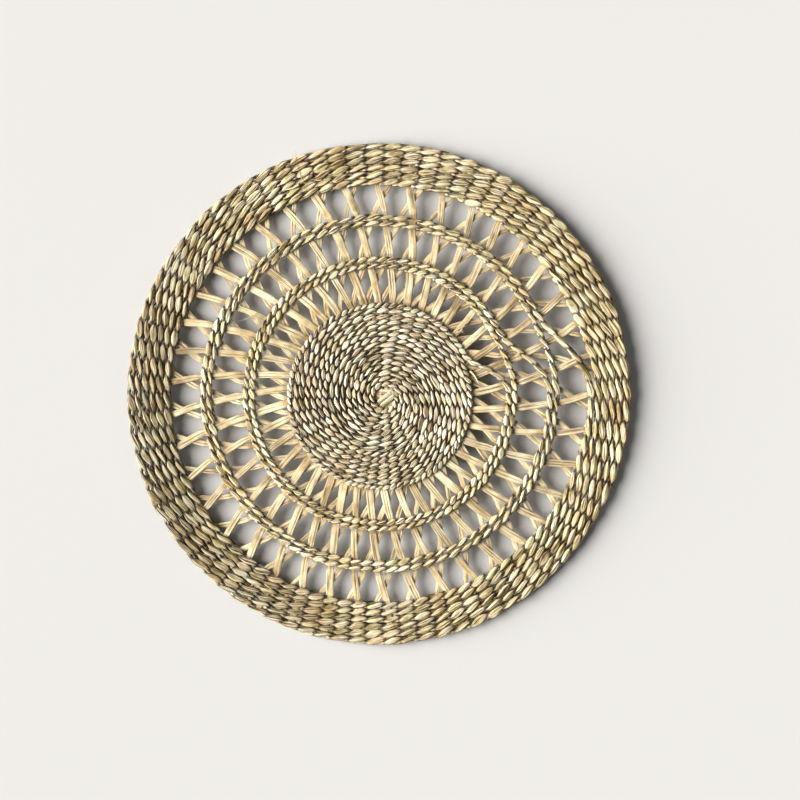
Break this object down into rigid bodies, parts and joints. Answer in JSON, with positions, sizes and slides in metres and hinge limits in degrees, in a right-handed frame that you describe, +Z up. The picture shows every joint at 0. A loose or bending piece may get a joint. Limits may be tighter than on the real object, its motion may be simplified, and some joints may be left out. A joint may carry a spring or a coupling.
{
  "type": "woven seat pad",
  "caption": "Round flat openwork seat pad of twined seagrass: a close-woven centre disc, crossed straw stakes, two twined rings and a wide woven border.",
  "frame": {"origin": "centre of the pad's flat underside", "axes": "+Z up through the pad, out of its upper face; +X points to the side where the weavers step out from row to row"},
  "size_m": [0.38, 0.38, 0.0065],
  "materials": {
    "seagrass": "matte dried seagrass, olive to khaki, fine lengthwise fibres",
    "straw": "pale split straw with a slight sheen and fine lengthwise grain"
  },
  "bodies": {
    "root": {"border_inner_weaver_a": "seagrass", "border_inner_weaver_b": "seagrass", "border_middle_weaver_a": "seagrass", "border_middle_weaver_b": "seagrass", "border_outer_weaver_a": "seagrass", "border_outer_weaver_b": "seagrass", "centre_star": "straw", "disc_core_weaver_a": "seagrass", "disc_core_weaver_b": "seagrass", "disc_outer_weaver_a": "seagrass", "disc_outer_weaver_b": "seagrass", "ring_1_inner_weaver_a": "seagrass", "ring_1_inner_weaver_b": "seagrass", "ring_1_outer_weaver_a": "seagrass", "ring_1_outer_weaver_b": "seagrass", "ring_2_inner_weaver_a": "seagrass", "ring_2_inner_weaver_b": "seagrass", "ring_2_outer_weaver_a": "seagrass", "ring_2_outer_weaver_b": "seagrass", "stake_01": "straw", "stake_02": "straw", "stake_03": "straw", "stake_04": "straw", "stake_05": "straw", "stake_06": "straw", "stake_07": "straw", "stake_08": "straw", "stake_09": "straw", "stake_10": "straw", "stake_11": "straw", "stake_12": "straw", "stake_13": "straw", "stake_14": "straw", "stake_15": "straw", "stake_16": "straw", "stake_17": "straw", "stake_18": "straw", "stake_19": "straw", "stake_20": "straw", "stake_21": "straw", "stake_22": "straw", "stake_23": "straw", "stake_24": "straw", "stake_25": "straw", "stake_26": "straw", "stake_27": "straw", "stake_28": "straw", "stake_29": "straw", "stake_30": "straw", "stake_31": "straw", "stake_32": "straw", "stake_33": "straw", "stake_34": "straw", "stake_35": "straw", "stake_36": "straw", "stake_37": "straw", "stake_38": "straw", "stake_39": "straw", "stake_40": "straw", "stake_41": "straw"}
  },
  "joints": []
}
